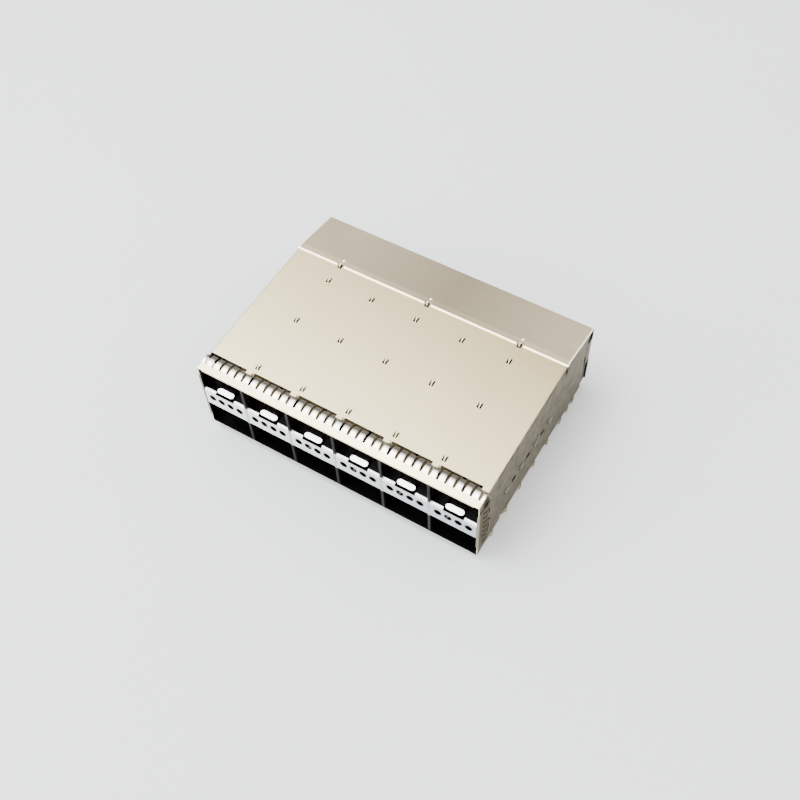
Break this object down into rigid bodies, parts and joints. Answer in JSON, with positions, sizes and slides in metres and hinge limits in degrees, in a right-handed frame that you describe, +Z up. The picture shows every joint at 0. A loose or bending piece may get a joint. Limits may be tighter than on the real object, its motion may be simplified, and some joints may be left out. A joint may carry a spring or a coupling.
{
  "type": "stacked transceiver cage",
  "caption": "Two-row metal cage for pluggable optical transceivers, with spring fingers round its mouth, press-fit pins below and card-edge connectors at the back.",
  "frame": {"origin": "on the board plane, midway across the cage, level with the nose of the front springs", "axes": "+X across the ports, +Y from the port mouths to the back, +Z up from the board"},
  "size_m": [0.087, 0.0656, 0.0293],
  "materials": {
    "cage_sheet": "bright warm grey tin-plated sheet, satin",
    "cover_sheet": "the same sheet, rolled the other way, satin",
    "divider_sheet": "satin",
    "separator_sheet": "bright plated",
    "strip_spring": "polished spring sheet",
    "clip_spring": "polished spring sheet",
    "connector_plastic": "matt black moulded plastic",
    "contact_gold": "gold-plated"
  },
  "bodies": {
    "root": {"top_shell": "cage_sheet", "rear_cover": "cover_sheet", "bottom_plate": "cage_sheet", "divider_1": "divider_sheet", "divider_2": "divider_sheet", "divider_3": "divider_sheet", "divider_4": "divider_sheet", "divider_5": "divider_sheet", "divider_clip_1": "clip_spring", "divider_clip_2": "clip_spring", "divider_clip_3": "clip_spring", "divider_clip_4": "clip_spring", "divider_clip_5": "clip_spring", "separator_1": "separator_sheet", "separator_2": "separator_sheet", "separator_3": "separator_sheet", "separator_4": "separator_sheet", "separator_5": "separator_sheet", "separator_6": "separator_sheet", "spring_strip_top": "strip_spring", "spring_strip_bottom": "strip_spring", "spring_strip_left": "strip_spring", "spring_strip_right": "strip_spring", "connector_housing_1": "connector_plastic", "connector_housing_2": "connector_plastic", "connector_housing_3": "connector_plastic", "connector_housing_4": "connector_plastic", "connector_housing_5": "connector_plastic", "connector_housing_6": "connector_plastic", "contacts_1": "contact_gold", "contacts_2": "contact_gold", "contacts_3": "contact_gold", "contacts_4": "contact_gold", "contacts_5": "contact_gold", "contacts_6": "contact_gold"}
  },
  "joints": []
}
